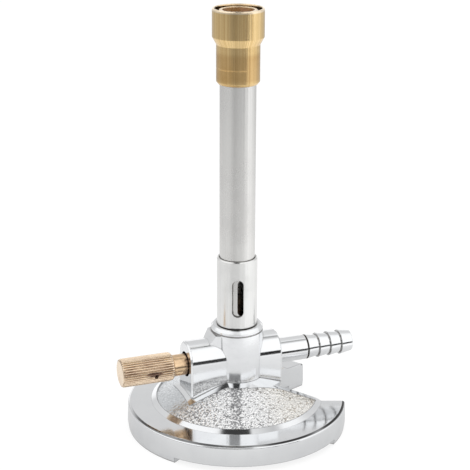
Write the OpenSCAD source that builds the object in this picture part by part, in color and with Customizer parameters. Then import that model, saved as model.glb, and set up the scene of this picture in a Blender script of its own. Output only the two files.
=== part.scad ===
// Laboratory gas burner: cast foot, valve body with needle valve and hose inlet,
// steel tube with a turning air sleeve, and a brass flame-retention head.
// Origin on the tube's axis at the table; +X is the hose inlet, -X the gas knob, -Y the front.

/* [Base] */
// Overall diameter of the foot
base_d = 82.4; // [80:0.2:92]
// Height of the flat rim above the table
rim_h = 9.7; // [9:0.1:12]
// Width of the flat rim
rim_w = 9; // [7:0.1:10]
// Width of the sloping smooth border inside the rim
border_w = 2; // [1.5:0.1:3]
// Height of the border's inner edge above the rim
border_rise = 1.6; // [1.2:0.1:2.2]
// Slope of the dome, rise over run
dome_slope = 0.41; // [0.36:0.01:0.46]
// Depth of the pebbled field below its smooth borders
field_depth = 0.4; // [0.2:0.05:0.8]
// Wall thickness of the casting
base_wall = 3; // [2.5:0.1:4]
// Height of the three feet below the rim's lower edge
foot_h = 2; // [1:0.1:3]
// Radius where the notch under the hose inlet begins
notch_r = 16.8; // [16.5:0.1:19]
// Half-width of the notch at its inner end
notch_half = 10.5; // [10:0.1:12]
// Flare of the notch's front side in degrees
notch_flare = 15.5; // [8:0.5:18]
// Flare of the notch's back side in degrees
notch_flare_back = 23; // [15:0.5:25]
// Thickness of the ribs under the base
rib_t = 2; // [1.5:0.1:3]

/* [Valve body] */
// Radius of the round boss
boss_r = 9.7; // [9.4:0.1:10.5]
// Height of the boss's top face above the table
boss_top = 40.1; // [39.5:0.1:44]
// Width of the bevel round the boss's top
boss_bevel = 1.1; // [0.6:0.1:1.6]
// Height of the gas passage and knob axis above the table
valve_z = 26.3; // [25.8:0.1:27]
// Half-width of the arms
arm_half = 7.2; // [6.8:0.1:7.8]
// Height of the centre of the arms' round top
arm_arch_z = 27.8; // [27:0.1:28.6]
// Reach of the knob arm from the tube's axis
knob_arm = 20.3; // [19.5:0.1:24]
// Reach of the inlet arm from the tube's axis
inlet_arm = 15.6; // [15:0.1:16.6]
// Depth of the tube's socket in the boss
socket_depth = 6; // [5:0.1:6.5]

/* [Needle valve] */
// Diameter of the knurled knob
knob_d = 10.6; // [9.6:0.1:13]
// Length of the knurled knob
knob_len = 19.8; // [16:0.1:26]
// Gap between the closed knob and the arm
knob_gap = 5.3; // [4:0.1:7]
// Number of ridges on the knurl
knurl_count = 36; // [24:1:48]
// Depth of the knurl
knurl_depth = 0.38; // [0.2:0.02:0.5]
// Diameter of the stem's smooth neck
neck_d = 8; // [7.4:0.1:8.4]
// Diameter of the recess that the neck runs in
recess_d = 9.4; // [9.2:0.1:9.8]
// Diameter of the stem's sealing land
land_d = 6; // [5.8:0.1:6.4]
// Diameter of the stem's thread
stem_thread_d = 5; // [4.8:0.1:5.2]
// Diameter of the hole in the valve seat
seat_hole_d = 2.4; // [2:0.1:2.6]
// Diameter of the pin through the knob
knob_pin_d = 1.6; // [1.2:0.1:2]

/* [Hose inlet] */
// Diameter of the plain part of the hose inlet
inlet_d = 9.4; // [8.8:0.1:9.8]
// Length of the plain part
inlet_plain = 11.6; // [10:0.1:15]
// Number of hose ridges
ridge_count = 4; // [3:1:5]
// Spacing of the hose ridges
ridge_pitch = 4.55; // [4:0.05:5.5]
// Height of each ridge
ridge_h = 0.7; // [0.4:0.05:0.9]
// Diameter of the gas way through the inlet
inlet_bore_d = 4.4; // [4:0.1:5]
// Thickness of the sealing washer under the inlet
inlet_seal_t = 0.6; // [0.4:0.05:0.9]

/* [Gas jet] */
// Height of the jet's tip above the boss's top face
jet_tip = 5.5; // [4:0.1:7]
// Diameter of the jet's thread
jet_thread_d = 6; // [5.6:0.1:6.4]
// Size of the jet's hexagon across its flats
jet_hex = 8; // [7.4:0.1:8.6]
// Diameter of the jet's orifice
jet_orifice_d = 0.9; // [0.7:0.05:1.3]

/* [Tube and air sleeve] */
// Outer diameter of the burner tube
tube_d = 13; // [12.6:0.05:13.4]
// Wall thickness of the tube
tube_wall = 0.9; // [0.7:0.05:1.1]
// Width of the air slots
slot_w = 4.2; // [3.6:0.1:5]
// Height of the slots' lower end above the boss
slot_lift = 4.8; // [4:0.1:6]
// Length of the air slots
slot_len = 14.5; // [12:0.1:15.5]
// Outer diameter of the air sleeve
sleeve_d = 14.9; // [14.7:0.05:15.6]
// Length of the air sleeve
sleeve_len = 26.2; // [25:0.1:32]
// Turn of the sleeve from fully open, in degrees
sleeve_turn = -18; // [-60:1:60]

/* [Flame head] */
// Height of the burner's mouth above the table
head_top = 157.3; // [150:0.1:180]
// Length of the brass head
head_len = 26.5; // [25:0.1:30]
// Outer diameter of the head's skirt
skirt_d = 15.5; // [15:0.1:16]
// Outer diameter of the head's cup
cup_d = 18.4; // [18:0.1:20]
// Height of the cup, measured from the mouth down
cup_h = 10; // [9:0.1:12]
// Inner diameter of the cup
cup_bore_d = 16.7; // [16.3:0.1:17]
// Outer diameter of the inner flame ring
ring_d = 13.54; // [13.5:0.02:14]
// Wall of the inner flame ring
ring_wall = 1.12; // [0.8:0.02:1.3]
// Number of pilot ports in the flame ring
port_count = 8; // [6:1:12]
// Diameter of the pilot ports
port_d = 1; // [0.8:0.1:1.4]

/* [Fits] */
// Radial running clearance of turning and sliding pieces
run_gap = 0.05; // [0.03:0.01:0.08]
// Gap between pieces that are fixed together
fixed_gap = 0.02; // [0.01:0.01:0.05]
// Gap between the body's skirt and the dome
skirt_gap = 0.08; // [0.05:0.01:0.15]
// Diameter of the fixing screws under the base
screw_d = 4; // [3.6:0.1:4.4]

/* [Hidden] */
$fn = 96;
e = 0.01;

// Foot
base_r = base_d / 2;
rim_in_r = base_r - rim_w;
field_r = rim_in_r - border_w;
field_edge_z = rim_h + border_rise;
boss_foot_z = field_edge_z + dome_slope * (field_r - boss_r);
seat_r = boss_r - 0.8;
seat_depth = 2.7;
seat_z = boss_foot_z - seat_depth;
seat_pad_t = 4;
seat_pad_r = boss_r + 2;
rim_edge_r = 1.2;
rim_draft = 0.2;
crown = 0.3;
border_in = 2.3;
notch_border = 1.9;
foot_pad_w = 5;
foot_pad_h = 3.5;
front_span = [217, 310.5];
back_span = [49.5, 143];
rib_low_z = foot_h + 1.6;
rib_angles = [70, 135, 225, 290];

// Valve body
arm_top = arm_arch_z + arm_half;
end_chamfer = 0.6;
recess_depth = 5.8;
seal_bore_len = 5.4;
stem_thread_len = 5.4;
recess_end = -knob_arm + recess_depth;
seal_end = recess_end + seal_bore_len;
thread_end = seal_end + stem_thread_len;
chamber_r = 3.2;
seat_bush_x = 2.6;
seat_bush_len = 3;
seat_bush_r = 3.7;
inlet_thread_r = 3.7;
inlet_thread_len = 6;
passage_r = 1.5;
collar_h = 1.8;
collar_step = 0.3;
collar_gap = 0.5;
groove_z = boss_top - collar_h - collar_gap;
gusset_top = groove_z - 0.2;
gusset_lip = 0.3;
gusset_reach = boss_r + 3.7;
gusset_drop = 5.5;
gusset_wide = arm_half - 1.3;
gusset_narrow = arm_half - 4.5;
gusset_root = boss_r - 2.7;
socket_z = boss_top - socket_depth;
jet_thread_len = socket_z - valve_z - seat_bush_r - 0.9;
jet_hole_len = jet_thread_len + 0.3;
jet_hex_h = 3;
jet_base_gap = 0.5;
jet_nose_r = 1.5;
screw_v = 6.2;
screw_reach = 7.5;
head_h = 2.6;
head_r = 3.4;
screw_key = 3.5;
lock_washer_t = 1;
lock_washer_r = 3.3;
split_w = 0.6;

// Needle valve
knob_r = knob_d / 2;
knob_in = -knob_arm - knob_gap;
knob_out = knob_in - knob_len;
knob_edge = 0.9;
pin_angle = 103;
pin_x = knob_in - knob_len * 0.37;
knob_wall_end = 4;
neck_end = recess_end - 1.2;
tail_r = 2.5;
groove_w = 1.5;
groove_depth = 1.1;
seal_cord_r = 0.56;
seal_pitch = 2.4;
seal_seats = [seal_end - 1.5, seal_end - 1.5 - seal_pitch];
stem_travel = 2.5;
clip_x = thread_end + stem_travel + fixed_gap;
stem_end = clip_x - 0.2;
clip_t = 0.6;
clip_r = 2.8;
clip_groove_r = 1.7;
clip_mouth = 2.6;
needle_r = 1.9;
needle_gap = 0.06;
needle_tip_r = 0.35;
needle_len = 4.2;

// Tube, sleeve and head
tube_r = tube_d / 2;
tube_in_r = tube_r - tube_wall;
sleeve_r = sleeve_d / 2;
ring_groove_depth = 0.35;
sleeve_lip = 0.35;
spring_ring_h = 1.2;
spring_ring_t = 0.46;
ring_split = 1.2;
spring_ring_z = boss_top + sleeve_len - 3.4;
sleeve_in_r = tube_r - ring_groove_depth + fixed_gap + spring_ring_t + run_gap;
slot_low = boss_top + slot_lift;
slot_high = slot_low + slot_len;
head_low = head_top - head_len;
cup_low = head_top - cup_h;
cup_cone_h = 2.6;
skirt_chamfer = 0.9;
tube_top = cup_low - cup_cone_h - 0.5;
ring_r = ring_d / 2;
ring_floor = cup_low + 0.4;
ring_top = head_top - 0.6;
port_z = ring_floor + 1.6;
score_z = head_low + 5.7;
score_d = 0.1;
lip_round = 0.3;

// Turns a solid that was drawn along Z so that it lies along X at the valve's height
module along_x(x = 0) {
    translate([x, 0, valve_z]) rotate([0, 90, 0]) children();
}

// A ring with square edges, lying flat
module flat_ring(r_out, r_in, h) {
    difference() {
        cylinder(r = r_out, h = h);
        translate([0, 0, -e]) cylinder(r = r_in, h = h + 2 * e);
    }
}

// A wedge of the plane between two directions, for cutting a span out of a ring
module span_plan(span, reach) {
    steps = 8;
    turn = (span[1] - span[0]) / steps;
    polygon(concat([[0, 0]], [
        for (i = [0:steps])
            reach * [cos(span[0] + i * turn), sin(span[0] + i * turn)]
    ]));
}

// Height of the dome's smooth surface at a radius
function dome_z(r) = boss_foot_z - dome_slope * (r - boss_r);

// ---- Foot ----

// Plan of the notch, grown by an even margin on every side
module notch_plan(margin = 0) {
    reach = base_r + 10;
    inner = sqrt(notch_r * notch_r - notch_half * notch_half);
    run = reach - inner;
    front = notch_half + margin / cos(notch_flare);
    back = notch_half + margin / cos(notch_flare_back);
    difference() {
        polygon([
            [0, -front + inner * tan(notch_flare)], [reach, -front - run * tan(notch_flare)],
            [reach, back + run * tan(notch_flare_back)], [0, back - inner * tan(notch_flare_back)]
        ]);
        circle(r = notch_r - margin);
    }
}

// Outer form of the foot as a solid of revolution, from the table up
module foot_form() {
    edge_r = base_r - rim_draft - rim_edge_r;
    rotate_extrude() {
        polygon([
            [0, 0], [base_r - crown, 0], [base_r, foot_h], [base_r - rim_draft, rim_h - rim_edge_r],
            [edge_r, rim_h - rim_edge_r], [edge_r, rim_h],
            [rim_in_r, rim_h + crown], [field_r, field_edge_z], [boss_r, boss_foot_z],
            [seat_r, dome_z(seat_r)], [0, dome_z(seat_r)]
        ]);
        translate([edge_r, rim_h - rim_edge_r]) circle(r = rim_edge_r);
    }
}

// Hollow under the foot, one wall inside the outer form
module foot_hollow() {
    rotate_extrude()
        polygon([
            [0, -1], [base_r - base_wall - crown, -1],
            [base_r - base_wall - 2 * crown, rim_h - base_wall],
            [rim_in_r, rim_h + crown - base_wall], [field_r, field_edge_z - base_wall],
            [boss_r, boss_foot_z - base_wall - field_depth], [0, boss_foot_z - base_wall - field_depth]
        ]);
}

// Smooth land that stays proud of the pebbled field, round the body and the notch
module land_plan() {
    side = arm_half + border_in;
    circle(r = boss_r + border_in);
    translate([-knob_arm - border_in + 0.6, -side]) square([knob_arm, 2 * side]);
    wide = notch_half + notch_border;
    translate([0, -wide]) square([notch_r, 2 * wide]);
    notch_plan(notch_border);
}

// The pebbled field, cut just below the smooth borders
module field_cut() {
    intersection() {
        rotate_extrude()
            polygon([
                [seat_r, dome_z(seat_r) - field_depth], [field_r, field_edge_z - field_depth],
                [field_r, boss_foot_z + 5], [seat_r, boss_foot_z + 5]
            ]);
        linear_extrude(height = boss_foot_z + 5)
            difference() {
                circle(r = field_r);
                land_plan();
            }
    }
}

module foot_ribs() {
    for (a = rib_angles)
        rotate([0, 0, a])
            translate([seat_pad_r - 1, -rib_t / 2, rib_low_z])
                cube([base_r - base_wall - seat_pad_r + 1, rib_t, boss_foot_z]);
}

// Thick pads along the rim where the foot stands on the table
module foot_pads() {
    linear_extrude(height = foot_pad_h)
        difference() {
            circle(r = base_r - 1);
            circle(r = base_r - base_wall - foot_pad_w);
            span_plan(front_span, base_d);
            span_plan(back_span, base_d);
        }
}

module base() {
    color("gainsboro")
    difference() {
        union() {
            difference() {
                foot_form();
                foot_hollow();
            }
            intersection() {
                foot_form();
                union() {
                    foot_ribs();
                    foot_pads();
                    translate([0, 0, seat_z - seat_pad_t]) cylinder(r = seat_pad_r, h = seat_pad_t);
                    translate([0, 0, foot_h])
                        linear_extrude(height = boss_foot_z) notch_plan(base_wall);
                }
            }
        }
        translate([0, 0, -1]) linear_extrude(height = boss_foot_z + 2) notch_plan();
        for (span = [front_span, back_span])
            translate([0, 0, -1]) linear_extrude(height = foot_h + 1) span_plan(span, base_d);
        translate([0, 0, seat_z]) cylinder(r = seat_r, h = boss_foot_z);
        for (side = [-1, 1])
            translate([0, side * screw_v, seat_z - seat_pad_t - 1])
                cylinder(d = screw_d + 0.5, h = seat_pad_t + 2);
        field_cut();
    }
}

module base_screws() {
    color("silver")
    for (side = [-1, 1])
        translate([0, side * screw_v, seat_z - seat_pad_t - lock_washer_t])
            difference() {
                union() {
                    cylinder(d = screw_d - 2 * fixed_gap, h = lock_washer_t + seat_pad_t + screw_reach);
                    translate([0, 0, -head_h]) cylinder(r = head_r, h = head_h);
                }
                translate([0, 0, -head_h - 1]) cylinder(d = screw_key, h = head_h, $fn = 6);
            }
}

module lock_washers() {
    color("dimgray")
    for (side = [-1, 1])
        translate([0, side * screw_v, seat_z - seat_pad_t - lock_washer_t])
            difference() {
                flat_ring(lock_washer_r, screw_d / 2 + 0.1, lock_washer_t);
                rotate([35, 0, 0])
                    translate([0, -split_w / 2, -2]) cube([lock_washer_r + 1, split_w, 6]);
            }
}

// ---- Valve body ----

// One arm's cross-section: round on top, straight sides below; X is height here
module arch_plan() {
    translate([-arm_arch_z, 0]) circle(r = arm_half);
    translate([-arm_arch_z, -arm_half]) square([arm_arch_z - boss_foot_z + 8, 2 * arm_half]);
}

// Tool that bevels an arm's end: a half ring round the top, a wedge down each side
module arm_end_tool(x, dir) {
    c = end_chamfer;
    intersection() {
        translate([x, 0, arm_arch_z]) rotate([0, dir * 90, 0])
            rotate_extrude()
                polygon([[arm_half - c - 1, 1], [arm_half + 1, -c - 1], [arm_half + 1, 1]]);
        translate([x - 5, -arm_half - 2, arm_arch_z]) cube([10, 2 * arm_half + 4, arm_half + 2]);
    }
    for (side = [-1, 1])
        translate([x, side * arm_half, 0]) rotate([0, 0, 45])
            translate([-c / sqrt(2), -c / sqrt(2), 0]) cube([sqrt(2) * c, sqrt(2) * c, arm_arch_z]);
}

// All the gas ways and seats along the knob and inlet axis
module cross_bores() {
    along_x(-knob_arm - 1) cylinder(d = recess_d, h = recess_depth + 1);
    along_x(recess_end - 1) cylinder(d = land_d + 2 * run_gap, h = seal_bore_len + 1);
    along_x(seal_end - 1) cylinder(d = stem_thread_d + 2 * run_gap, h = stem_thread_len + 1.5);
    along_x(thread_end) cylinder(r = chamber_r, h = seat_bush_x - thread_end + e);
    along_x(seat_bush_x) cylinder(r = seat_bush_r, h = inlet_arm - seat_bush_x + 1);
}

module valve_body() {
    color("gainsboro")
    difference() {
        union() {
            translate([0, 0, seat_z]) cylinder(r = boss_r, h = boss_top - seat_z - boss_bevel);
            translate([0, 0, boss_top - boss_bevel])
                cylinder(r1 = boss_r, r2 = boss_r - 0.9, h = boss_bevel);
            difference() {
                translate([-knob_arm, 0, 0]) rotate([0, 90, 0])
                    linear_extrude(height = knob_arm + inlet_arm) arch_plan();
                arm_end_tool(-knob_arm, -1);
                arm_end_tool(inlet_arm, 1);
            }
            arm_gusset();
        }
        translate([0, 0, groove_z]) flat_ring(boss_r + 1, boss_r - collar_step, collar_gap);
        body_underside();
        cross_bores();
        translate([0, 0, valve_z]) cylinder(r = passage_r, h = 20);
        translate([0, 0, socket_z - jet_hole_len]) cylinder(d = jet_thread_d, h = jet_hole_len + 1);
        translate([0, 0, socket_z]) cylinder(r = tube_r + fixed_gap, h = socket_depth + 1);
        for (side = [-1, 1])
            translate([0, side * screw_v, seat_z - 1]) cylinder(d = screw_d, h = screw_reach + 1.5);
    }
}

// Sloping gusset between the knob arm's round top and the boss; its sides close in outwards
module arm_gusset() {
    intersection() {
        translate([0, arm_half, 0]) rotate([90, 0, 0])
            linear_extrude(height = 2 * arm_half)
                polygon([
                    [0, arm_arch_z], [0, gusset_top], [-boss_r - gusset_lip, gusset_top],
                    [-gusset_reach, gusset_top - gusset_drop], [-gusset_reach, arm_arch_z]
                ]);
        linear_extrude(height = boss_top)
            polygon([
                [0, -gusset_wide], [-gusset_root, -gusset_wide], [-gusset_reach, -gusset_narrow],
                [-gusset_reach, gusset_narrow], [-gusset_root, gusset_wide], [0, gusset_wide]
            ]);
    }
}

// What is taken off below the body so that it sits on the dome like a saddle
module body_underside() {
    reach = knob_arm + 6;
    rotate_extrude()
        polygon([
            [seat_r - fixed_gap, -1], [reach, -1],
            [reach, dome_z(reach) + skirt_gap], [seat_r - fixed_gap, dome_z(seat_r) + skirt_gap]
        ]);
    translate([0, 0, -1]) cylinder(r = seat_r + 1, h = seat_z + 1);
}

module valve_seat() {
    color("goldenrod")
    difference() {
        along_x(seat_bush_x) cylinder(r = seat_bush_r - fixed_gap, h = seat_bush_len);
        along_x(seat_bush_x - 1) cylinder(d = seat_hole_d, h = seat_bush_len + 2);
    }
}

// ---- Needle valve ----

module valve_stem() {
    // the needle's cone just clears the seat's edge when the valve is shut
    cone_rise = needle_r - needle_tip_r;
    seat_cut = (needle_r - seat_hole_d / 2 + needle_gap) / cone_rise * needle_len;
    needle_x = seat_bush_x - seat_cut;
    color("darkgoldenrod")
    difference() {
        union() {
            along_x(knob_out + knob_wall_end) cylinder(r = tail_r - fixed_gap, h = knob_len);
            along_x(knob_in) cylinder(d = neck_d, h = neck_end - knob_in);
            along_x(neck_end - e) cylinder(d = land_d, h = seal_end - neck_end - 0.4);
            along_x(seal_end - 0.5) cylinder(d = stem_thread_d, h = stem_end - seal_end + 0.5);
            along_x(stem_end - e) cylinder(r = clip_groove_r, h = clip_x + clip_t - stem_end + 0.3);
            along_x(clip_x + clip_t + 0.1)
                cylinder(r = needle_r, h = needle_x - clip_x - clip_t - 0.1 + e);
            along_x(needle_x) cylinder(r1 = needle_r, r2 = needle_tip_r, h = needle_len);
        }
        for (x = seal_seats)
            along_x(x - groove_w / 2)
                flat_ring(land_d / 2 + 1, land_d / 2 - groove_depth, groove_w);
        pin_hole();
    }
}

module stem_seals() {
    color("dimgray")
    for (x = seal_seats)
        along_x(x) rotate_extrude()
            translate([land_d / 2 + run_gap - seal_cord_r - 0.02, 0]) circle(r = seal_cord_r, $fn = 32);
}

module stop_clip() {
    color("silver")
    difference() {
        along_x(clip_x) flat_ring(clip_r, clip_groove_r + fixed_gap, clip_t);
        translate([clip_x - 1, -clip_mouth / 2, valve_z]) cube([clip_t + 2, clip_mouth, clip_r + 1]);
    }
}

// Straight knurl: one tooth per ridge, its tips on the knob's full radius
module knurl_plan() {
    step = 360 / knurl_count;
    root = knob_r - knurl_depth;
    polygon([
        for (i = [0:knurl_count - 1], k = [0:3])
            let (a = i * step + k * step / 4, r = k < 2 ? knob_r : root)
                r * [cos(a), sin(a)]
    ]);
}

module pin_hole() {
    translate([pin_x, 0, valve_z]) rotate([pin_angle, 0, 0])
        cylinder(d = knob_pin_d, h = 2 * knob_d, center = true);
}

module knob() {
    // the rounding of the ends starts just outside the ridges
    outer = knob_r + 0.05;
    color("goldenrod")
    difference() {
        intersection() {
            along_x(knob_out) linear_extrude(height = knob_len) knurl_plan();
            along_x(knob_out) rotate_extrude()
                polygon([
                    [0, 0], [outer - knob_edge, 0], [outer - 0.35 * knob_edge, 0.25 * knob_edge],
                    [outer, knob_edge], [outer, knob_len - 1.5 * knob_edge],
                    [outer - 0.35 * knob_edge, knob_len - 0.5 * knob_edge],
                    [outer - knob_edge, knob_len], [0, knob_len]
                ]);
        }
        along_x(knob_out + knob_wall_end - 0.3) cylinder(r = tail_r, h = knob_len);
        pin_hole();
    }
}

module knob_pin() {
    color("silver")
    translate([pin_x, 0, valve_z]) rotate([pin_angle, 0, 0])
        difference() {
            cylinder(d = knob_pin_d - 2 * fixed_gap, h = knob_d - 2 * knurl_depth - 0.3, center = true);
            cylinder(d = knob_pin_d / 2, h = knob_d, center = true);
        }
}

// ---- Hose inlet ----

module hose_inlet() {
    start = inlet_arm + inlet_seal_t;
    plain_end = start + inlet_plain;
    tip_r = inlet_d / 2;
    color("gainsboro")
    difference() {
        union() {
            along_x(inlet_arm - inlet_thread_len)
                cylinder(r = inlet_thread_r - fixed_gap, h = inlet_thread_len + inlet_seal_t + 1);
            along_x(start) cylinder(d = inlet_d, h = inlet_plain - ridge_h);
            along_x(plain_end - ridge_h - e) cylinder(r1 = tip_r, r2 = tip_r - ridge_h, h = ridge_h + e);
            for (i = [0:ridge_count - 1])
                along_x(plain_end + i * ridge_pitch - e)
                    cylinder(r1 = tip_r, r2 = tip_r - ridge_h, h = ridge_pitch + e);
        }
        along_x(inlet_arm - inlet_thread_len - 1)
            cylinder(d = inlet_bore_d, h = inlet_plain + ridge_count * ridge_pitch + inlet_thread_len + 10);
    }
}

module inlet_seal() {
    color("dimgray")
    along_x(inlet_arm) flat_ring(inlet_d / 2 + 0.4, inlet_thread_r + run_gap, inlet_seal_t);
}

// ---- Gas jet ----

module gas_jet() {
    hex_low = socket_z + jet_base_gap;
    tip = boss_top + jet_tip;
    color("goldenrod")
    difference() {
        union() {
            translate([0, 0, socket_z - jet_thread_len])
                cylinder(d = jet_thread_d - 2 * fixed_gap, h = jet_thread_len + 0.6);
            translate([0, 0, hex_low]) cylinder(r = jet_hex / 2 / cos(30), h = jet_hex_h, $fn = 6);
            translate([0, 0, hex_low + jet_hex_h - e])
                cylinder(r1 = 0.4 * jet_hex, r2 = jet_nose_r, h = tip - hex_low - jet_hex_h);
        }
        translate([0, 0, socket_z - jet_thread_len - 1])
            cylinder(r = passage_r - 0.3, h = tip - socket_z + jet_thread_len - 0.2);
        translate([0, 0, tip - 2]) cylinder(d = jet_orifice_d, h = 3);
    }
}

module jet_washer() {
    color("peru")
    translate([0, 0, socket_z]) flat_ring(1.1 * jet_hex / 2, jet_thread_d / 2 + run_gap, jet_base_gap);
}

// ---- Tube and air sleeve ----

// Two opposite upright slots with round ends, through a tube of any radius
module slot_pair(reach) {
    for (z = [slot_low + slot_w / 2, slot_high - slot_w / 2])
        translate([0, 0, z]) rotate([90, 0, 0]) cylinder(d = slot_w, h = 2 * reach, center = true);
    translate([-slot_w / 2, -reach, slot_low + slot_w / 2])
        cube([slot_w, 2 * reach, slot_len - slot_w]);
}

module burner_tube() {
    color("silver")
    difference() {
        translate([0, 0, socket_z]) cylinder(r = tube_r, h = tube_top - socket_z);
        translate([0, 0, socket_z - 1]) cylinder(r = tube_in_r, h = tube_top - socket_z + 2);
        slot_pair(tube_r + 1);
        translate([0, 0, spring_ring_z])
            flat_ring(tube_r + 1, tube_r - ring_groove_depth, spring_ring_h + 0.1);
    }
}

module air_sleeve() {
    lip = sleeve_lip;
    color("silver")
    rotate([0, 0, sleeve_turn])
        difference() {
            translate([0, 0, boss_top]) rotate_extrude()
                polygon([
                    [sleeve_in_r, 0], [sleeve_r - lip, 0], [sleeve_r, lip],
                    [sleeve_r, sleeve_len - lip], [sleeve_r - lip, sleeve_len], [sleeve_in_r, sleeve_len]
                ]);
            slot_pair(sleeve_r + 1);
        }
}

// Split spring ring in the tube's groove; it holds the sleeve by friction
module sleeve_ring() {
    inner = tube_r - ring_groove_depth + fixed_gap;
    color("dimgray")
    translate([0, 0, spring_ring_z + 0.05])
        difference() {
            flat_ring(inner + spring_ring_t, inner, spring_ring_h);
            translate([0, -ring_split / 2, -1]) cube([tube_d, ring_split, spring_ring_h + 2]);
        }
}

// ---- Flame head ----

module flame_head() {
    skirt_r = skirt_d / 2;
    cup_r = cup_d / 2;
    color("gold")
    difference() {
        rotate_extrude()
            polygon([
                [tube_r + fixed_gap, head_low], [skirt_r - 0.7 * skirt_chamfer, head_low],
                [skirt_r, head_low + skirt_chamfer],
                [skirt_r, score_z - score_d], [skirt_r - score_d, score_z], [skirt_r, score_z + score_d],
                [skirt_r, cup_low - cup_cone_h], [cup_r, cup_low],
                [cup_r, head_top - lip_round], [cup_r - lip_round, head_top],
                [cup_bore_d / 2 + lip_round / 2, head_top], [cup_bore_d / 2, head_top - lip_round / 2],
                [cup_bore_d / 2, ring_floor],
                [ring_r + fixed_gap, ring_floor], [ring_r + fixed_gap, tube_top],
                [tube_r + fixed_gap, tube_top]
            ]);
    }
}

// Inner ring that keeps the flame seated: pilot ports feed the gap between ring and cup
module flame_ring() {
    color("gold")
    difference() {
        rotate_extrude()
            polygon([
                [ring_r - ring_wall, tube_top], [ring_r, tube_top], [ring_r, ring_top - lip_round / 2],
                [ring_r - lip_round / 2, ring_top], [ring_r - ring_wall, ring_top]
            ]);
        for (i = [0:port_count - 1])
            rotate([0, 0, (i + 0.5) * 360 / port_count])
                translate([0, 0, port_z]) rotate([0, 90, 0]) cylinder(d = port_d, h = ring_d, $fn = 24);
    }
}

base();
base_screws();
lock_washers();
valve_body();
valve_seat();
valve_stem();
stem_seals();
stop_clip();
knob();
knob_pin();
hose_inlet();
inlet_seal();
gas_jet();
jet_washer();
burner_tube();
air_sleeve();
sleeve_ring();
flame_head();
flame_ring();
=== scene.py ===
# %% [markdown]
# # A laboratory gas burner, dressed in Blender
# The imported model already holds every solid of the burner, each in its place: the notched
# foot, the valve body, the knurled knob, the hose inlet, the tube with its air sleeve, and
# the brass head. A burner is nearly all metal, so what makes it look real is how each metal
# was finished and what it mirrors. This lesson sets the camera and the light first, then
# builds the finishes one by one. The load call comes before everything else, because every
# later step reads the places of the pieces from it.

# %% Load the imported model
import math

import bpy
from mathutils import Matrix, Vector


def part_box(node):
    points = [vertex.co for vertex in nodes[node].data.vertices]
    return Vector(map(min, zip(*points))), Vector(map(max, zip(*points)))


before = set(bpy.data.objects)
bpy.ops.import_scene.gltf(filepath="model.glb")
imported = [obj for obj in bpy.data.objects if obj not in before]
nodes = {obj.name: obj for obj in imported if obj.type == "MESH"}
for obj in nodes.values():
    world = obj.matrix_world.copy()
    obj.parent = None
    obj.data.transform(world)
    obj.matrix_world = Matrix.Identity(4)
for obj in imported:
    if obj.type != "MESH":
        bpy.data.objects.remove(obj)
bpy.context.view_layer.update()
MM = 0.001
print("solids loaded:", len(nodes))

# %% [markdown]
# ## The camera
# The burner stands on a table and is seen from a little above, with the hose inlet pointing
# to the right and slightly away. A long lens from half a metre keeps the tube's sides nearly
# parallel. The camera could be aimed with a tracking constraint, but a heading, a tilt and a
# roll are easier to read and to change one at a time.

# %% Camera
CAMERA_DISTANCE = 481.9 * MM
CAMERA_HEIGHT = 239.7 * MM
CAMERA_SIDE = math.radians(20.5)
CAMERA_HEADING = math.radians(-0.10)
CAMERA_TILT = math.radians(18.93)
CAMERA_ROLL = math.radians(0.25)
SENSOR = 36.0
LENS = 107.2

camera_data = bpy.data.cameras.new("camera")
camera_data.sensor_width = SENSOR
camera_data.lens = LENS
camera = bpy.data.objects.new("camera", camera_data)
bpy.context.scene.collection.objects.link(camera)
camera_place = Matrix.Translation((
    -CAMERA_DISTANCE * math.sin(CAMERA_SIDE),
    -CAMERA_DISTANCE * math.cos(CAMERA_SIDE),
    CAMERA_HEIGHT,
))
camera_turn = (
    Matrix.Rotation(-(CAMERA_SIDE + CAMERA_HEADING), 4, "Z")
    @ Matrix.Rotation(math.radians(90) - CAMERA_TILT, 4, "X")
    @ Matrix.Rotation(CAMERA_ROLL, 4, "Z")
)
camera.matrix_world = camera_place @ camera_turn
bpy.context.scene.camera = camera
bpy.context.scene.view_settings.view_transform = "Standard"
print("camera stands at", [round(v, 3) for v in camera.matrix_world.translation])

# %% [markdown]
# ## Small helpers for shader trees
# A shader tree is easier to read when one line makes a node and joins it up. `feed` gives a
# socket either a link or a plain value, `add` makes any node, `calc` makes a Math node, and
# `product` multiplies as many values as it is given.

# %% Nodes and links
def feed(tree, socket, value):
    """Links value to the socket when it is a socket itself, and sets it otherwise."""
    if isinstance(value, bpy.types.NodeSocket):
        tree.links.new(value, socket)
    else:
        socket.default_value = value


def add(tree, kind, inputs=None, **settings):
    """Makes a node, sets its options, and feeds the named or numbered inputs."""
    node = tree.nodes.new(kind)
    for name, value in settings.items():
        setattr(node, name, value)
    for name, value in (inputs or {}).items():
        feed(tree, node.inputs[name], value)
    return node


def calc(tree, operation, *values):
    """Makes a Math node and returns its output."""
    node = add(tree, "ShaderNodeMath", operation=operation)
    for socket, value in zip(node.inputs, values):
        feed(tree, socket, value)
    return node.outputs[0]


def product(tree, result, *others):
    """Multiplies two or more values."""
    for other in others:
        result = calc(tree, "MULTIPLY", result, other)
    return result


print("node helpers: feed, add, calc, product")

# %% [markdown]
# Nearly every mask in this lesson is a smooth step. `ramp_between` rises from one value to
# the next and falls when the second is the lower one. `band` sets two such steps back to
# back, which gives a stripe with soft edges.

# %% Ramps and bands
def ramp_between(tree, value, low, high, out_low=0.0, out_high=1.0):
    """Turns value into a smooth step from out_low at low to out_high at high."""
    node = add(tree, "ShaderNodeMapRange", interpolation_type="SMOOTHSTEP")
    for name, number in zip(
        ("Value", "From Min", "From Max", "To Min", "To Max"),
        (value, low, high, out_low, out_high),
    ):
        feed(tree, node.inputs[name], number)
    return node.outputs["Result"]


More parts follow.
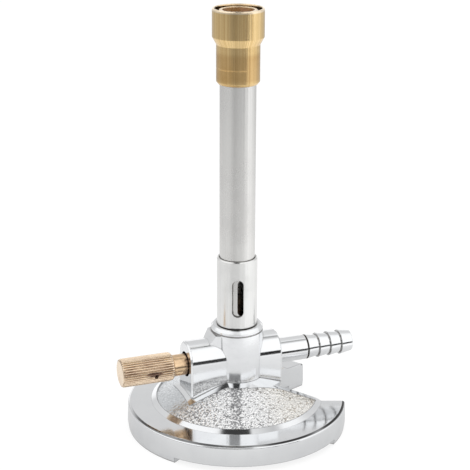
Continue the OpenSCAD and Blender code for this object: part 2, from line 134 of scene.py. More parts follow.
def band(tree, value, out_low, in_low, in_high, out_high):
    """A mask that is full from in_low to in_high and gone at out_low and out_high."""
    return product(tree, ramp_between(tree, value, out_low, in_low),
                   ramp_between(tree, value, out_high, in_high))


print("mask helpers: ramp_between, band")

# %% [markdown]
# Colours are mixed in three ways: by a plain mix, by a tint that a mask lays on thinly, and
# for single values by the same sum with Math nodes.

# %% Mixes
def grey(value):
    """A grey colour."""
    return (value, value, value, 1)


def mix_colour(tree, factor, first, second, blend="MIX"):
    """Mixes two colours and returns the result."""
    node = add(tree, "ShaderNodeMix", data_type="RGBA", blend_type=blend)
    feed(tree, node.inputs["Factor"], factor)
    feed(tree, node.inputs[6], first)
    feed(tree, node.inputs[7], second)
    return node.outputs[2]


def tinted(tree, colour, tint, mask, amount):
    """Lays a tint over a colour where the mask is, as thickly as the amount says."""
    return mix_colour(tree, calc(tree, "MULTIPLY", mask, amount), colour, (*tint, 1))


def mix_value(tree, factor, first, second):
    """Goes from the first value to the second as the factor goes from 0 to 1."""
    return calc(tree, "MULTIPLY_ADD", factor, calc(tree, "SUBTRACT", second, first), first)


print("mixing helpers: grey, mix_colour, tinted, mix_value")

# %% [markdown]
# ## The light tent
# Bright metal shows nothing but its surroundings, so the surroundings are designed like a
# photographer's light tent. The half above the camera is white and the half behind is a
# quiet grey. A dark gap runs round the tent just where the table ends; it draws the crisp
# black line along the arms and the hose inlet. The gap is closed by a tall soft box on the
# right. Cards could be built for all of this, but a world shader gives the same mirror image
# with nothing in the way. Only mirrored rays see the tent. Matt things such as the table get
# plain white light, and the camera sees a plain white backdrop.

# %% Greys round the tent
BELOW = [(-180, 0.92), (-142, 0.92), (-96, 0.98), (-66, 1.00), (-17, 0.92), (18, 0.98),
         (42, 1.12), (67, 1.18), (98, 1.15), (146, 1.02), (180, 0.92)]
GAP = [(-180, 0.60), (-118, 0.54), (-100, 0.56), (-78, 0.66), (-52, 0.66), (-42, 0.62),
       (-36, 0.44), (-24, 0.31), (-10, 0.36), (14, 0.44), (30, 0.50), (40, 0.66), (50, 1.00),
       (64, 1.10), (78, 1.12), (100, 0.96), (118, 0.78), (140, 0.60), (180, 0.60)]
HALF_TURN = 180


def grey_ramp(tree, place, stops, reach):
    """A grey ramp over a place from 0 to 1. Stops are (where from -reach to reach, value)."""
    node = add(tree, "ShaderNodeValToRGB", {"Fac": place})
    ramp = node.color_ramp
    while len(ramp.elements) < len(stops):
        ramp.elements.new(0.5)
    for element, (where, value) in zip(ramp.elements, stops):
        element.position = 0.5 + where / (2 * reach)
        element.color = grey(value)
    return node.outputs["Color"]


print("stops round the tent:", len(BELOW), "below and", len(GAP), "in the gap")

# %% [markdown]
# Three numbers place any direction in the tent: its height, how far it faces the camera's
# side, and how far it leans to the right. The turn round the tent follows from the last two.

# %% Directions in the tent
scene_world = bpy.data.worlds.new("light_tent")
bpy.context.scene.world = scene_world
scene_world.use_nodes = True
tent = scene_world.node_tree
tent.nodes.clear()
to_camera = (-math.sin(CAMERA_SIDE), -math.cos(CAMERA_SIDE), 0)
to_right = (math.cos(CAMERA_SIDE), -math.sin(CAMERA_SIDE), 0)


def dot_product(tree, first, second):
    """How far one direction goes along another."""
    node = add(tree, "ShaderNodeVectorMath", {0: first, 1: second}, operation="DOT_PRODUCT")
    return node.outputs["Value"]


direction = add(tent, "ShaderNodeTexCoord").outputs["Generated"]
height = add(tent, "ShaderNodeSeparateXYZ", {0: direction}).outputs["Z"]
facing = dot_product(tent, direction, to_camera)
siding = dot_product(tent, direction, to_right)
turn = calc(tent, "MULTIPLY_ADD", calc(tent, "ARCTAN2", siding, facing), 1 / math.tau, 0.5)
print("nodes for directions:", len(tent.nodes))

# %% [markdown]
# Things in the tent are easier to place in degrees: turns are counted from the camera's side
# and grow to the right, and rises are counted from the horizon.

# %% Places in degrees
def rise_of(degrees):
    """The height on a unit sphere of a direction that rises by that angle."""
    return math.sin(math.radians(degrees))


def turn_of(degrees):
    """The share of a full turn round the tent. Half a turn is the camera's side."""
    return 0.5 + degrees / 360


def rising(low, high):
    """A mask that grows from nothing to full between two rises."""
    return ramp_between(tent, height, rise_of(low), rise_of(high))


def between_rises(*edges):
    """A soft-edged band of rises, from four rises in order."""
    return band(tent, height, *(rise_of(degrees) for degrees in edges))


def between_turns(*edges):
    """A soft-edged band of turns, from four turns in order."""
    return band(tent, turn, *(turn_of(degrees) for degrees in edges))


print("10 degrees is a height of", round(rise_of(10), 3))

# %% [markdown]
# The roof comes first, white over the camera and grey behind. The two halves overlap on the
# right, and there a thin dark seam runs overhead.

# %% Roof of the tent
ROOF = [(-1.0, 0.74), (-0.80, 0.75), (-0.50, 0.80), (-0.34, 1.10), (0.13, 1.20), (1.0, 1.18)]
SEAMED_ROOF = [(-1.0, 0.74), (-0.80, 0.75), (-0.50, 0.80), (-0.34, 1.00), (-0.275, 1.00),
               (-0.24, 0.38), (-0.20, 0.36), (-0.13, 0.52), (-0.03, 0.74), (0.06, 0.98),
               (0.13, 1.18), (1.0, 1.18)]
SEAM_HEIGHTS = (0.84, 0.92)
SEAM_SIDES = (0.10, 0.20)

across = calc(tent, "MULTIPLY_ADD", facing, 0.5, 0.5)
seam = product(tent, ramp_between(tent, height, *SEAM_HEIGHTS),
               ramp_between(tent, siding, *SEAM_SIDES))
roof = mix_colour(tent, seam, grey_ramp(tent, across, ROOF, 1),
                  grey_ramp(tent, across, SEAMED_ROOF, 1))
print("nodes with the roof:", len(tent.nodes))

# %% [markdown]
# Three dark things stand before the roof: a flag that hangs high over the camera, the
# photographer behind it, and a boom that reaches overhead. The flag and the boom give the
# dark block in the middle of the foot's border, and the photographer darkens the flat rim in
# front of it.

# %% Flag, photographer and boom
FLAG_TURNS, FLAG_RISES = (-44, -34, 20, 30), (54, 60, 62, 72)
PERSON_TURNS, PERSON_RISES = (-38, -30, 15, 21), (8, 14, 32, 38)
PERSON_AMOUNT = 0.8
BOOM_SIDES = (-0.21, -0.15, 0.14, 0.19)
BOOM_FACING = (-0.12, -0.05)
BOOM_RISES = (56, 62)
DARK_CLOTH = 0.05

flag = product(tent, between_turns(*FLAG_TURNS), between_rises(*FLAG_RISES))
person = product(tent, between_turns(*PERSON_TURNS), between_rises(*PERSON_RISES), PERSON_AMOUNT)
boom = product(tent, band(tent, siding, *BOOM_SIDES), rising(*BOOM_RISES),
               ramp_between(tent, facing, *BOOM_FACING))
dark = calc(tent, "MAXIMUM", calc(tent, "MAXIMUM", flag, person), boom)
roof = mix_colour(tent, dark, roof, grey(DARK_CLOTH))
print("nodes with the dark things:", len(tent.nodes))

# %% [markdown]
# Below the roof come the wall and the gap. The wall is a little dimmer just under the
# horizon, as the table's far edge is.

# %% Walls of the tent
GAP_RISES = (-22, -9)
ROOF_RISES = (3, 5.5)
DIM_RISES = (-14, -9)
DIM_FACING = (-0.3, 0.3)
DIM_TURNS = (turn_of(46), turn_of(38))
HORIZON_DIM = 0.66

wall = mix_colour(tent, rising(*GAP_RISES), grey_ramp(tent, turn, BELOW, HALF_TURN),
                  grey_ramp(tent, turn, GAP, HALF_TURN))
dim = product(tent, rising(*DIM_RISES), ramp_between(tent, facing, *DIM_FACING),
              ramp_between(tent, turn, *DIM_TURNS))
wall = mix_colour(tent, dim, wall, grey(HORIZON_DIM), "MULTIPLY")
whole = mix_colour(tent, rising(*ROOF_RISES), wall, roof)
print("nodes with the walls:", len(tent.nodes))

# %% [markdown]
# A black stand on the right is what the arms and the inlet mirror as their crisp line. It
# is three plates side by side, each given by its left and right turn and its lower rise. A
# bright card behind the burner lights the back edges.

# %% Stand and back card
STAND_PLATES = ((35.5, 44, -16), (35.5, 62, -6), (50, 66, -11))
STAND_SOFT_TURN, STAND_SOFT_RISE = 2, 3
STAND_TOP = (2, 4)
STAND_DARK = 0.02
CARD_RISES = (-10, -5, 11, 16)
CARD_FACING = (-0.80, -0.92)
BACK_CARD = 1.15

for left, right, low in STAND_PLATES:
    plate = product(
        tent, between_turns(left, left + STAND_SOFT_TURN, right - STAND_SOFT_TURN, right),
        between_rises(low, low + STAND_SOFT_RISE, *STAND_TOP))
    whole = mix_colour(tent, plate, whole, grey(STAND_DARK))
card = product(tent, ramp_between(tent, facing, *CARD_FACING), between_rises(*CARD_RISES))
whole = mix_colour(tent, card, whole, grey(BACK_CARD))
print("nodes with the stand and the card:", len(tent.nodes))

# %% [markdown]
# The two looks are joined last: mirrored rays get the tent, everything else plain white.

# %% World output
BACKDROP = 1.0
glossy = add(tent, "ShaderNodeLightPath").outputs["Is Glossy Ray"]
tent_look = add(tent, "ShaderNodeBackground", {"Color": whole, "Strength": 1.0})
plain_look = add(tent, "ShaderNodeBackground", {"Color": grey(1.0), "Strength": BACKDROP})
both = add(tent, "ShaderNodeMixShader",
           {0: glossy, 1: plain_look.outputs[0], 2: tent_look.outputs[0]})
add(tent, "ShaderNodeOutputWorld", {"Surface": both.outputs[0]})
print("world nodes:", len(tent.nodes))

# %% [markdown]
# ## The table
# The table is a sheet of white acrylic that is lit from below as well as from above, so the
# foot leaves only a trace of a shadow. Mirrored rays see it only near the burner and see the
# tent beyond, which keeps the dark gap where it belongs.

# %% Table top
TABLE_SIZE = 6.0

table_mesh = bpy.data.meshes.new("table")
half = TABLE_SIZE / 2
table_mesh.from_pydata(
    [(-half, -half, 0), (half, -half, 0), (half, half, 0), (-half, half, 0)], [], [(0, 1, 2, 3)]
)
table = bpy.data.objects.new("table", table_mesh)
bpy.context.scene.collection.objects.link(table)
print("table side:", TABLE_SIZE, "m")

# %% [markdown]
# A sheet of acrylic needs no recipe, but every material starts in the same way, with an empty
# tree, and many masks need a distance, which is the length of a vector.

# %% Starting a material
def new_material(name):
    """Starts a material with an empty tree. Returns the material and its tree."""
    material = bpy.data.materials.new(name)
    material.use_nodes = True
    material.node_tree.nodes.clear()
    return material, material.node_tree


def length_of(tree, vector):
    """The length of a vector."""
    return add(tree, "ShaderNodeVectorMath", {0: vector}, operation="LENGTH").outputs["Value"]


acrylic, tree = new_material("white_acrylic")
print("new material:", acrylic.name)

# %% [markdown]
# The acrylic glows a little and is matt on top. Mirrored rays see it darker close to the foot,
# where the burner shades it, and not at all beyond its edge.

# %% White acrylic
TABLE_GLOW, TABLE_SHADE = 0.80, 0.22
MIRRORED_GLOW, MIRRORED_SHADE = 0.6, 0.4
MIRRORED_NEAR, MIRRORED_FAR = 0.70, 0.88
NEAR_REACH, FAR_REACH = 42.0 * MM, 80.0 * MM
TABLE_EDGE, EDGE_SOFT = 88.0 * MM, 6.0 * MM

reach = length_of(tree, add(tree, "ShaderNodeNewGeometry").outputs["Position"])
glossy = add(tree, "ShaderNodeLightPath").outputs["Is Glossy Ray"]
near = ramp_between(tree, reach, NEAR_REACH, FAR_REACH, MIRRORED_NEAR, MIRRORED_FAR)
glow = mix_value(tree, glossy, TABLE_GLOW, calc(tree, "MULTIPLY", near, MIRRORED_GLOW))
shade = mix_value(tree, glossy, TABLE_SHADE, calc(tree, "MULTIPLY", near, MIRRORED_SHADE))
matt = add(tree, "ShaderNodeBsdfDiffuse", {"Color": shade})
lit = add(tree, "ShaderNodeEmission", {"Color": grey(1.0), "Strength": glow})
sheet = add(tree, "ShaderNodeAddShader", {0: matt.outputs[0], 1: lit.outputs[0]})
clear = add(tree, "ShaderNodeBsdfTransparent")
beyond = ramp_between(tree, reach, TABLE_EDGE - EDGE_SOFT, TABLE_EDGE + EDGE_SOFT)
table_look = add(tree, "ShaderNodeMixShader", {
    0: calc(tree, "MULTIPLY", glossy, beyond), 1: sheet.outputs[0], 2: clear.outputs[0]})
add(tree, "ShaderNodeOutputMaterial", {"Surface": table_look.outputs[0]})
table_mesh.materials.append(acrylic)
print("mirrors see the table out to", round(TABLE_EDGE / MM), "mm")

# %% [markdown]
# One real lamp is left, a broad soft box overhead. It only has to light the table and the
# few matt pieces, so mirrored rays don't see it.

# %% Soft box
SOFT_BOX_SIZE = 0.9
SOFT_BOX_HEIGHT = 1.1
SOFT_BOX_WATTS = 2.5

lamp = bpy.data.lights.new("top_box", "AREA")
lamp.shape = "RECTANGLE"
lamp.size, lamp.size_y = SOFT_BOX_SIZE, SOFT_BOX_SIZE
lamp.energy = SOFT_BOX_WATTS
top_box = bpy.data.objects.new("top_box", lamp)
bpy.context.scene.collection.objects.link(top_box)
top_box.location = (0.0, 0.0, SOFT_BOX_HEIGHT)
top_box.visible_glossy = False
print("soft box at", tuple(top_box.location))

# %% [markdown]
# ## Effects that several finishes share
# What several finishes need is built once, as a node group with its own inputs, so a change
# in one place changes them all. A group has sockets of its own, and each has a kind.

# %% Group helpers
FLOAT = "NodeSocketFloat"
VECTOR = "NodeSocketVector"


def new_group(name, inputs, outputs):
    """Starts a shader node group. Returns the group, its input node and its output node."""
    group = bpy.data.node_groups.new(name, "ShaderNodeTree")
    for label, kind, default in inputs:
        socket = group.interface.new_socket(label, in_out="INPUT", socket_type=kind)
        if default is not None:
            socket.default_value = default
    for label, kind in outputs:
        group.interface.new_socket(label, in_out="OUTPUT", socket_type=kind)
    return group, add(group, "NodeGroupInput"), add(group, "NodeGroupOutput")


def place_group(tree, group, **values):
    """Puts a group into a material, with this material's own values."""
    return add(tree, "ShaderNodeGroup", values, node_tree=group)


print("group helpers: new_group, place_group")

# %% [markdown]
# Most wear is noise of one size or another, and most masks ask how far a place is from an
# upright axis. Both get a helper.

# %% Texture helpers
def noise(tree, place, scale, detail=3.0, roughness=0.5):
    """Noise over a place, with so many cells to a metre. It is mostly between 0.3 and 0.7."""
    return add(tree, "ShaderNodeTexNoise", {"Vector": place, "Scale": scale, "Detail": detail,
                                            "Roughness": roughness}).outputs[0]


def split_place(tree, place):
    """The X, Y and Z of a place, and its part across the upright axis as a vector."""
    parts = add(tree, "ShaderNodeSeparateXYZ", {0: place}).outputs
    flat = add(tree, "ShaderNodeCombineXYZ", {0: parts[0], 1: parts[1]})
    return parts[0], parts[1], parts[2], flat.outputs[0]


print("texture helpers: noise, split_place")

# %% [markdown]
# Edges on real castings and turned pieces are never sharp: a fraction of a millimetre of
# rounding catches a thin highlight. The Bevel node finds such edges on any mesh, so one group
# gives every metal its rounded normal and a mask of its edges, along which some metals get a
# painted dark line, a painted reflection.

# %% Group: soft edges
FLAT_LIKENESS, EDGE_LIKENESS = 0.99, 0.90

soft_edges, given, result = new_group(
    "Soft edges", [("Radius", FLOAT, 0.3 * MM)], [("Normal", VECTOR), ("Edge", FLOAT)]
)
rounding = add(soft_edges, "ShaderNodeBevel", {"Radius": given.outputs["Radius"]}, samples=4)
true_normal = add(soft_edges, "ShaderNodeNewGeometry").outputs["Normal"]
likeness = dot_product(soft_edges, rounding.outputs[0], true_normal)
feed(soft_edges, result.inputs["Normal"], rounding.outputs[0])
feed(soft_edges, result.inputs["Edge"],
     ramp_between(soft_edges, likeness, FLAT_LIKENESS, EDGE_LIKENESS))
print("group:", soft_edges.name)

# %% [markdown]
# Where two pieces meet and in every groove the metals get painted shade, a darker tint standing in
# for the shade that falls there. Ambient occlusion finds such corners: it asks how much of the near
# surroundings is open.

# %% Group: painted shade in corners
UNSHADED_OPENNESS, SHADED_OPENNESS = 0.74, 0.42

corner_shade_group, given, result = new_group(
    "Corner painted shade", [("Reach", FLOAT, 1.0 * MM)], [("Painted shade", FLOAT)]
)
openness = add(corner_shade_group, "ShaderNodeAmbientOcclusion",
               {"Distance": given.outputs["Reach"]}, samples=4)
feed(corner_shade_group, result.inputs["Painted shade"],
     ramp_between(corner_shade_group, openness.outputs["AO"], UNSHADED_OPENNESS, SHADED_OPENNESS))
print("group:", corner_shade_group.name)

# %% [markdown]
# Handling leaves faint smears that show only as small changes in gloss. Two sizes of noise
# are enough, the larger one deciding where the smaller one shows.

# %% Group: smears
FINER = 7.0
PATCH_EDGES = (0.42, 0.68)

smears, given, result = new_group(
    "Smears", [("Position", VECTOR, None), ("Scale", FLOAT, 60.0)], [("Smear", FLOAT)]
)
place, scale = given.outputs["Position"], given.outputs["Scale"]
patches = ramp_between(smears, noise(smears, place, scale), *PATCH_EDGES)
fine = noise(smears, place, calc(smears, "MULTIPLY", scale, FINER), detail=4.0)
feed(smears, result.inputs["Smear"], calc(smears, "MULTIPLY", patches, fine))
print("group:", smears.name)

# %% [markdown]
# A drawn tube carries long faint streaks, and so does a knob or a head after years of use.
# Noise that is squeezed around the axis and stretched along it gives them. The direction
# from the axis stands in for the angle, so the pattern has no seam.

# %% Group: drawn streaks
drawn_streaks, given, result = new_group(
    "Drawn streaks",
    [("Position", VECTOR, None), ("Around", FLOAT, 8.0), ("Along", FLOAT, 4.0)],
    [("Streak", FLOAT)],
)
upright, flat = split_place(drawn_streaks, given.outputs["Position"])[2:]
outward = add(drawn_streaks, "ShaderNodeVectorMath", {0: flat}, operation="NORMALIZE")
turned = add(drawn_streaks, "ShaderNodeVectorMath",
             {0: outward.outputs[0], "Scale": given.outputs["Around"]}, operation="SCALE")
risen = add(drawn_streaks, "ShaderNodeCombineXYZ",
            {2: calc(drawn_streaks, "MULTIPLY", upright, given.outputs["Along"])})
where = add(drawn_streaks, "ShaderNodeVectorMath",
            {0: turned.outputs[0], 1: risen.outputs[0]}, operation="ADD")
feed(drawn_streaks, result.inputs["Streak"],
     noise(drawn_streaks, where.outputs[0], 1.0, detail=5.0))
print("group:", drawn_streaks.name)

# %% [markdown]
# ## One way to make a metal
# Every metal here is the same recipe with its own numbers: a colour that a second tint joins
# in the smears and streaks, painted shade in the corners, a roughness that the smears and streaks
# raise a little, and a bump from the streaks. The axis of the streaks is upright for the tube
# and lies along the inlet for the valve pieces, so the place is turned before it is used.

# %% Place on a piece
VALVE_AXIS_Z = 26.3 * MM


def place_on(tree, axis):
    """The place on the piece, turned so that its own axis is upright."""
    place = add(tree, "ShaderNodeTexCoord").outputs["Object"]
    if axis == "Z":
        return place
    low = add(tree, "ShaderNodeVectorMath", {0: place, 1: (0, 0, VALVE_AXIS_Z)},
              operation="SUBTRACT")
    turned = add(tree, "ShaderNodeVectorRotate",
                 {"Vector": low.outputs[0], "Angle": math.radians(90)}, rotation_type="Y_AXIS")
    return turned.outputs[0]


print("the valve's axis is", round(VALVE_AXIS_Z / MM, 1), "mm above the table")

# %% [markdown]
# The colour is laid on in layers, as it is in life: bare metal first, then wear in smears
# and streaks. The same smears and streaks dull the gloss. A brushed piece also blurs what it
# mirrors more one way than the other, which is what anisotropy is for.

# %% Wear, gloss and brushing
SMEAR_TINT = 0.6
STREAK_EDGES = (0.32, 0.68)
STREAK_GLOSS = 0.6
QUARTER_TURN = 0.25


def layered(tree, colour, worn, smear, streak, lines):
    """Bare metal with a second tint in its smears and streaks."""
    smeared = tinted(tree, (*colour, 1), worn, smear, SMEAR_TINT)
    return tinted(tree, smeared, worn, ramp_between(tree, streak, *STREAK_EDGES), lines)


def dulled_gloss(tree, rough, spread, smear, streak):
    """A roughness that smears and streaks raise a little."""
    gloss = calc(tree, "ADD", rough, calc(tree, "MULTIPLY", smear, spread))
    return calc(tree, "ADD", gloss, calc(tree, "MULTIPLY", streak, spread * STREAK_GLOSS))


def brush_round(tree, surface, axis):
    """Lays the brushing of a turned piece round its axis."""
    round_axis = add(tree, "ShaderNodeTangent", direction_type="RADIAL", axis=axis)
    feed(tree, surface.inputs["Tangent"], round_axis.outputs[0])
    feed(tree, surface.inputs["Anisotropic Rotation"], QUARTER_TURN)


print("a smear takes up to", SMEAR_TINT, "of the worn tint")

# %% [markdown]
# The recipe itself joins the layers, adds a painted dark line on the edges where the metal asks
# for one, a painted reflection, and puts painted shade in the corners on top. It hands back its
# parts, so that a finish can go on from there.

# %% Metal recipe
STREAK_DEPTH = 0.2 * MM


def metal(name, colour, worn, rough, spread, axis="Z", around=10.0, along=6.0,
          grain=0.03, edge=0.25 * MM, stretch=0.0, smear_scale=60.0,
          lines=0.25, corner=(0.10, 0.08, 0.06), corner_reach=1.0 * MM, corner_amount=0.85,
          painted_edge_tint=(0.3, 0.3, 0.3), painted_edge_amount=0.0):
    """A metal with rounded edges, smears and drawn streaks. Returns its parts for more work."""
    material, tree = new_material(name)
    surface = add(tree, "ShaderNodeBsdfPrincipled", {"Metallic": 1.0, "Anisotropic": stretch})
    add(tree, "ShaderNodeOutputMaterial", {"Surface": surface.outputs[0]})
    place = place_on(tree, axis)
    smear = place_group(tree, smears, Position=place, Scale=smear_scale).outputs[0]
    streak = place_group(tree, drawn_streaks, Position=place, Around=around, Along=along).outputs[0]
    edges = place_group(tree, soft_edges, Radius=edge).outputs
    painted_corner_shade = place_group(tree, corner_shade_group, Reach=corner_reach).outputs[0]
    layers = layered(tree, colour, worn, smear, streak, lines)
    # Painted reflection: a dark line laid along the edges.
    if painted_edge_amount:
        layers = tinted(tree, layers, painted_edge_tint, edges["Edge"], painted_edge_amount)
    # Painted shade: the corner colour is laid wherever ambient occlusion finds a corner.
    layers = tinted(tree, layers, corner, painted_corner_shade, corner_amount)
    gloss = dulled_gloss(tree, rough, spread, smear, streak)
    bump = add(tree, "ShaderNodeBump", {"Strength": grain, "Distance": STREAK_DEPTH,
                                        "Height": streak, "Normal": edges["Normal"]}).outputs[0]
    feed(tree, surface.inputs["Base Color"], layers)
    feed(tree, surface.inputs["Roughness"], gloss)
    feed(tree, surface.inputs["Normal"], bump)
    if stretch:
        brush_round(tree, surface, axis)
    return {"material": material, "tree": tree, "surface": surface.inputs, "place": place,
            "colour": layers, "gloss": gloss, "bump": bump}


print("streaks are", STREAK_DEPTH / MM, "mm deep at full strength")

# %% [markdown]
# A finished material is put on its pieces by name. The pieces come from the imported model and
# stay where they are; only their material changes.

# %% Dressing a piece
def dress(material, *names):
    """Gives CAD nodes their finish."""
    for name in names:
        nodes[name].data.materials.clear()
        nodes[name].data.materials.append(material)
    print(material.name, "->", ", ".join(names))


print("pieces to dress:", len(nodes))

# %% [markdown]
# ## Plated zinc: the valve body, the hose inlet and the foot
# These are die castings, polished and chrome plated. Bright chrome is close to a plain mirror
# with a cold tint, and only faint smears tell the eye that it is a real surface.

# %% Bright chrome
# Its edges get a painted dark line, a painted reflection, and its corners a wide painted shade.
bright = metal("bright_chrome", (0.86, 0.87, 0.88), (0.74, 0.75, 0.77), 0.05, 0.10,
               axis="X", around=3.0, along=60.0, grain=0.02, edge=0.35 * MM,
               corner_reach=1.6 * MM, corner_amount=0.9, painted_edge_amount=0.35)
dress(bright["material"], "valve_body", "hose_inlet")

# %% [markdown]
# The dome of the foot is cast with a pebbled field inside a smooth border, so that it doesn't
# show scratches. The field could be modelled stone by stone, but each pebble is less than a
# millimetre across and a bump from rounded cells and a fine noise reads just as well.

# %% Foot chrome
# A strong painted dark line runs along the foot's edges, a painted reflection.
foot = metal("cast_chrome", (0.85, 0.86, 0.87), (0.74, 0.75, 0.77), 0.055, 0.10,
             around=5.0, along=80.0, grain=0.02, edge=0.3 * MM,
             corner_reach=0.9 * MM, painted_edge_tint=(0.05, 0.05, 0.05), painted_edge_amount=0.8)
tree = foot["tree"]
x, y, z, flat = split_place(tree, foot["place"])
radius = length_of(tree, flat)
print("plate for the foot:", foot["material"].name)

# %% [markdown]
# The field lies a little below the smooth cone of the dome, which is how the material finds
# it: it works out how far each place is below that cone.

# %% Where the pebbled field is
DOME_SLOPE = 0.41
BOSS_R = 9.7 * MM
BOSS_FOOT_Z = 19.7 * MM
FIELD_R = 30.2 * MM
FIELD_LOW, FIELD_DEEP, FIELD_SOFT = 0.25 * MM, 0.8 * MM, 0.1 * MM

cone = calc(tree, "SUBTRACT", BOSS_FOOT_Z + DOME_SLOPE * BOSS_R,
            calc(tree, "MULTIPLY", radius, DOME_SLOPE))
below = calc(tree, "SUBTRACT", cone, z)
field = product(tree, ramp_between(tree, below, FIELD_LOW - FIELD_SOFT, FIELD_LOW + FIELD_SOFT),
                calc(tree, "LESS_THAN", below, FIELD_DEEP),
                calc(tree, "LESS_THAN", radius, FIELD_R))
print("the field ends at", round(FIELD_R / MM, 1), "mm from the axis")

# %% [markdown]
# The pebbles are rounded cells with a finer noise on top. Under the knob's arm the bump is
# weak, and the stones there are bluish grey with less black between them.

# %% Pebbles
PEBBLES = 1250.0
GRAIN_SCALE = 1.7 * PEBBLES
GRAIN_SHARE = 0.5
PEBBLE_HEIGHT = 0.45 * MM
FIELD_ROUGHER = 0.08
ARM_PATCH_X = (-13 * MM, -19 * MM)
ARM_PATCH_Y = (-13 * MM, -6 * MM)
ARM_PATCH_FLATTER = 0.65

cells = add(tree, "ShaderNodeTexVoronoi",
            {"Vector": foot["place"], "Scale": PEBBLES, "Smoothness": 0.6, "Randomness": 0.9},
            feature="SMOOTH_F1")
grain = calc(tree, "MULTIPLY", noise(tree, foot["place"], GRAIN_SCALE, detail=2.0), GRAIN_SHARE)
pebble = calc(tree, "SUBTRACT", grain, cells.outputs["Distance"])
arm_patch = product(tree, ramp_between(tree, x, *ARM_PATCH_X), ramp_between(tree, y, *ARM_PATCH_Y))
pebbled = add(tree, "ShaderNodeBump",
              {"Strength": calc(tree, "MULTIPLY_ADD", arm_patch, -ARM_PATCH_FLATTER, 1.0),
               "Distance": PEBBLE_HEIGHT, "Height": calc(tree, "MULTIPLY", pebble, field),
               "Normal": foot["bump"]})
rougher = calc(tree, "MULTIPLY", field, FIELD_ROUGHER)
feed(tree, foot["surface"]["Normal"], pebbled.outputs[0])
feed(tree, foot["surface"]["Roughness"], calc(tree, "ADD", foot["gloss"], rougher))
print("pebbles per metre:", PEBBLES)

# %% [markdown]
# The valleys between the pebbles are painted black, a painted reflection of the dark things
# round the burner. A noise says where, and lowering it gives more black: in a stripe in front
# of the boss and on the knob's side, both painted reflections.

# %% Painted black in the valleys
ACROSS_FRONT = (0.937, -0.350, 0.0)
STRIPE_EDGES, PAINTED_STRIPE_BLACKER = (2.6 * MM, 1.2 * MM), 0.13
KNOB_SIDE, PAINTED_KNOB_REFLECTION_BLACKER = (-4 * MM, -15 * MM), 0.06
BLACK_EDGES = (0.45, 0.38)
BLACK_AMOUNT, ARM_PATCH_LESS_BLACK = 0.70, 0.55

in_front = dot_product(tree, foot["place"], ACROSS_FRONT)
stripe = product(tree, ramp_between(tree, calc(tree, "ABSOLUTE", in_front), *STRIPE_EDGES),
                 calc(tree, "LESS_THAN", y, 0.0))
painted_knob_reflection = ramp_between(tree, in_front, *KNOB_SIDE)
speck = noise(tree, foot["place"], PEBBLES, detail=1.5, roughness=0.6)
speck = calc(tree, "MULTIPLY_ADD", stripe, -PAINTED_STRIPE_BLACKER, speck)
speck = calc(tree, "MULTIPLY_ADD", painted_knob_reflection, -PAINTED_KNOB_REFLECTION_BLACKER, speck)
# Painted reflection: black in the valleys, blacker in the stripe and on the knob's side.
black = product(tree, ramp_between(tree, speck, *BLACK_EDGES),
                calc(tree, "MULTIPLY_ADD", arm_patch, -ARM_PATCH_LESS_BLACK, BLACK_AMOUNT))
print("the dark stripe is", round(2 * STRIPE_EDGES[0] / MM, 1), "mm wide")

# %% [markdown]
# Toward the inlet the painted valleys are brown and the stones a little warmer.

# %% Colours of the field
BROWN_TOWARD_INLET = (-2 * MM, 14 * MM)
VALLEY_BLACK, VALLEY_BROWN = (0.10, 0.10, 0.11, 1), (0.36, 0.30, 0.22, 1)
STONE_WHITE, STONE_WARM = (0.98, 0.98, 0.98, 1), (0.98, 0.96, 0.92, 1)
ARM_PATCH_STONE = (0.70, 0.72, 0.74, 1)

warm = ramp_between(tree, x, *BROWN_TOWARD_INLET)
valley = mix_colour(tree, warm, VALLEY_BLACK, VALLEY_BROWN)
stones = mix_colour(tree, warm, STONE_WHITE, STONE_WARM)
stones = mix_colour(tree, arm_patch, stones, ARM_PATCH_STONE)
stones = mix_colour(tree, black, stones, valley)
foot_colour = mix_colour(tree, field, foot["colour"], stones)
print("the field browns from", round(BROWN_TOWARD_INLET[0] / MM), "to", round(BROWN_TOWARD_INLET[1] / MM), "mm")

# %% [markdown]
# Where the flat rim rolls over into the outer wall, a dark line is painted round the foot, a
# painted reflection. The line is strongest at the front and fades toward the knob.

# %% Painted dark line round the rim
EDGE_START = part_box("base")[1][1] - 1.4 * MM
LINE_EDGES = [EDGE_START + step * MM for step in (0.05, 0.25, 0.85, 1.05)]
RIM_TOP, LINE_DEPTH = 9.7 * MM, 0.8 * MM
LINE_FADE = (-40 * MM, -35 * MM)
LINE_SCALE = 45.0
LINE_NOISE, LINE_AMOUNTS = (0.35, 0.6), (0.6, 1.0)
PAINTED_LINE_DARK = 0.05

rim_line_breaks = ramp_between(tree, noise(tree, foot["place"], LINE_SCALE, detail=2.0),
                         *LINE_NOISE, *LINE_AMOUNTS)
painted_rim_line = product(tree, band(tree, radius, *LINE_EDGES),
                    calc(tree, "GREATER_THAN", z, RIM_TOP - LINE_DEPTH),
                    rim_line_breaks, ramp_between(tree, in_front, *LINE_FADE))
foot_colour = mix_colour(tree, painted_rim_line, foot_colour, grey(PAINTED_LINE_DARK))
feed(tree, foot["surface"]["Base Color"], foot_colour)
dress(foot["material"], "base")

# %% [markdown]
# ## Steel: the tube, the sleeve and the small fasteners
# The tube is turned and lightly brushed, so it blurs what it mirrors mostly along its length.
# Anisotropy does that without any real grooves.

